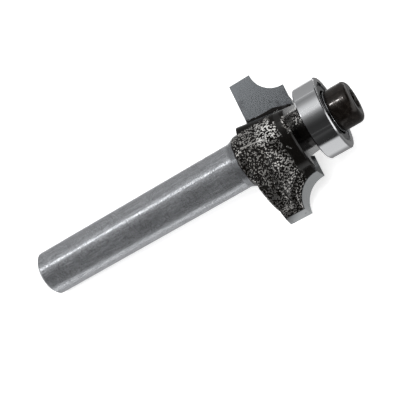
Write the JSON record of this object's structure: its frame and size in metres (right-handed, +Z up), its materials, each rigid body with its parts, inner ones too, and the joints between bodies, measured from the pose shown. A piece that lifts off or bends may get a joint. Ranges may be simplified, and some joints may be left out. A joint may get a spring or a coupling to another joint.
{
  "type": "router bit",
  "caption": "Round-over router bit with brazed carbide tips, a plain shank and a guide ball bearing held by a socket head screw.",
  "frame": {"origin": "centre of the footprint, on the surface that the bit lies on", "axes": "+X from the shank towards the bearing, +Z up; the bit's own axis lies in the XZ plane and rises towards the bearing by 4.35 degrees"},
  "size_m": [0.0618, 0.0234, 0.0148],
  "materials": {
    "tool_steel": "ground shank, black wrinkle coating on the collar and head",
    "carbide": "ground tungsten carbide, satin",
    "black_screw": "black oxide, slight gloss",
    "bearing_steel": "polished bearing steel",
    "pressed_sheet": "bright pressed sheet steel",
    "spring_wire": "bright spring wire"
  },
  "bodies": {
    "bit": {"bit_body": "tool_steel", "cutting_tip_1": "carbide", "cutting_tip_2": "carbide", "bearing_screw": "black_screw", "inner_ring": "bearing_steel"},
    "bearing_outer": {"outer_ring": "bearing_steel", "shield_front": "pressed_sheet", "shield_rear": "pressed_sheet", "snap_ring_front": "spring_wire", "snap_ring_rear": "spring_wire"},
    "ball_cage": {"cage_front": "pressed_sheet", "cage_rear": "pressed_sheet"},
    "ball_1": {"ball_1": "bearing_steel"},
    "ball_2": {"ball_2": "bearing_steel"},
    "ball_3": {"ball_3": "bearing_steel"},
    "ball_4": {"ball_4": "bearing_steel"},
    "ball_5": {"ball_5": "bearing_steel"},
    "ball_6": {"ball_6": "bearing_steel"},
    "ball_7": {"ball_7": "bearing_steel"}
  },
  "joints": [
    {"name": "bearing_spin", "type": "hinge", "parent": "bit", "child": "bearing_outer", "pos_m": [0.02484, 0, 0.00817], "axis": [0.9971, 0, 0.0758], "continuous": true},
    {"name": "cage_spin", "type": "hinge", "parent": "bit", "child": "ball_cage", "pos_m": [0.02484, 0, 0.00817], "axis": [0.9971, 0, 0.0758], "continuous": true},
    {"name": "ball_1_spin", "type": "hinge", "parent": "ball_cage", "child": "ball_1", "pos_m": [0.02462, 0.00331, 0.011], "axis": [0.9971, 0, 0.0758], "continuous": true},
    {"name": "ball_2_spin", "type": "hinge", "parent": "ball_cage", "child": "ball_2", "pos_m": [0.02451, -0.00016, 0.01252], "axis": [0.9971, 0, 0.0758], "continuous": true},
    {"name": "ball_3_spin", "type": "hinge", "parent": "ball_cage", "child": "ball_3", "pos_m": [0.02464, -0.00351, 0.01075], "axis": [0.9971, 0, 0.0758], "continuous": true},
    {"name": "ball_4_spin", "type": "hinge", "parent": "ball_cage", "child": "ball_4", "pos_m": [0.02492, -0.00422, 0.00704], "axis": [0.9971, 0, 0.0758], "continuous": true},
    {"name": "ball_5_spin", "type": "hinge", "parent": "ball_cage", "child": "ball_5", "pos_m": [0.02514, -0.00175, 0.00418], "axis": [0.9971, 0, 0.0758], "continuous": true},
    {"name": "ball_6_spin", "type": "hinge", "parent": "ball_cage", "child": "ball_6", "pos_m": [0.02513, 0.00204, 0.00432], "axis": [0.9971, 0, 0.0758], "continuous": true},
    {"name": "ball_7_spin", "type": "hinge", "parent": "ball_cage", "child": "ball_7", "pos_m": [0.0249, 0.00429, 0.00735], "axis": [0.9971, 0, 0.0758], "continuous": true}
  ],
  "couplings": [
    {"joint": "cage_spin", "follows": "bearing_spin", "ratio": 0.63635},
    {"joint": "ball_1_spin", "follows": "bearing_spin", "ratio": 1.6972},
    {"joint": "ball_2_spin", "follows": "bearing_spin", "ratio": 1.6972},
    {"joint": "ball_3_spin", "follows": "bearing_spin", "ratio": 1.6972},
    {"joint": "ball_4_spin", "follows": "bearing_spin", "ratio": 1.6972},
    {"joint": "ball_5_spin", "follows": "bearing_spin", "ratio": 1.6972},
    {"joint": "ball_6_spin", "follows": "bearing_spin", "ratio": 1.6972},
    {"joint": "ball_7_spin", "follows": "bearing_spin", "ratio": 1.6972}
  ]
}
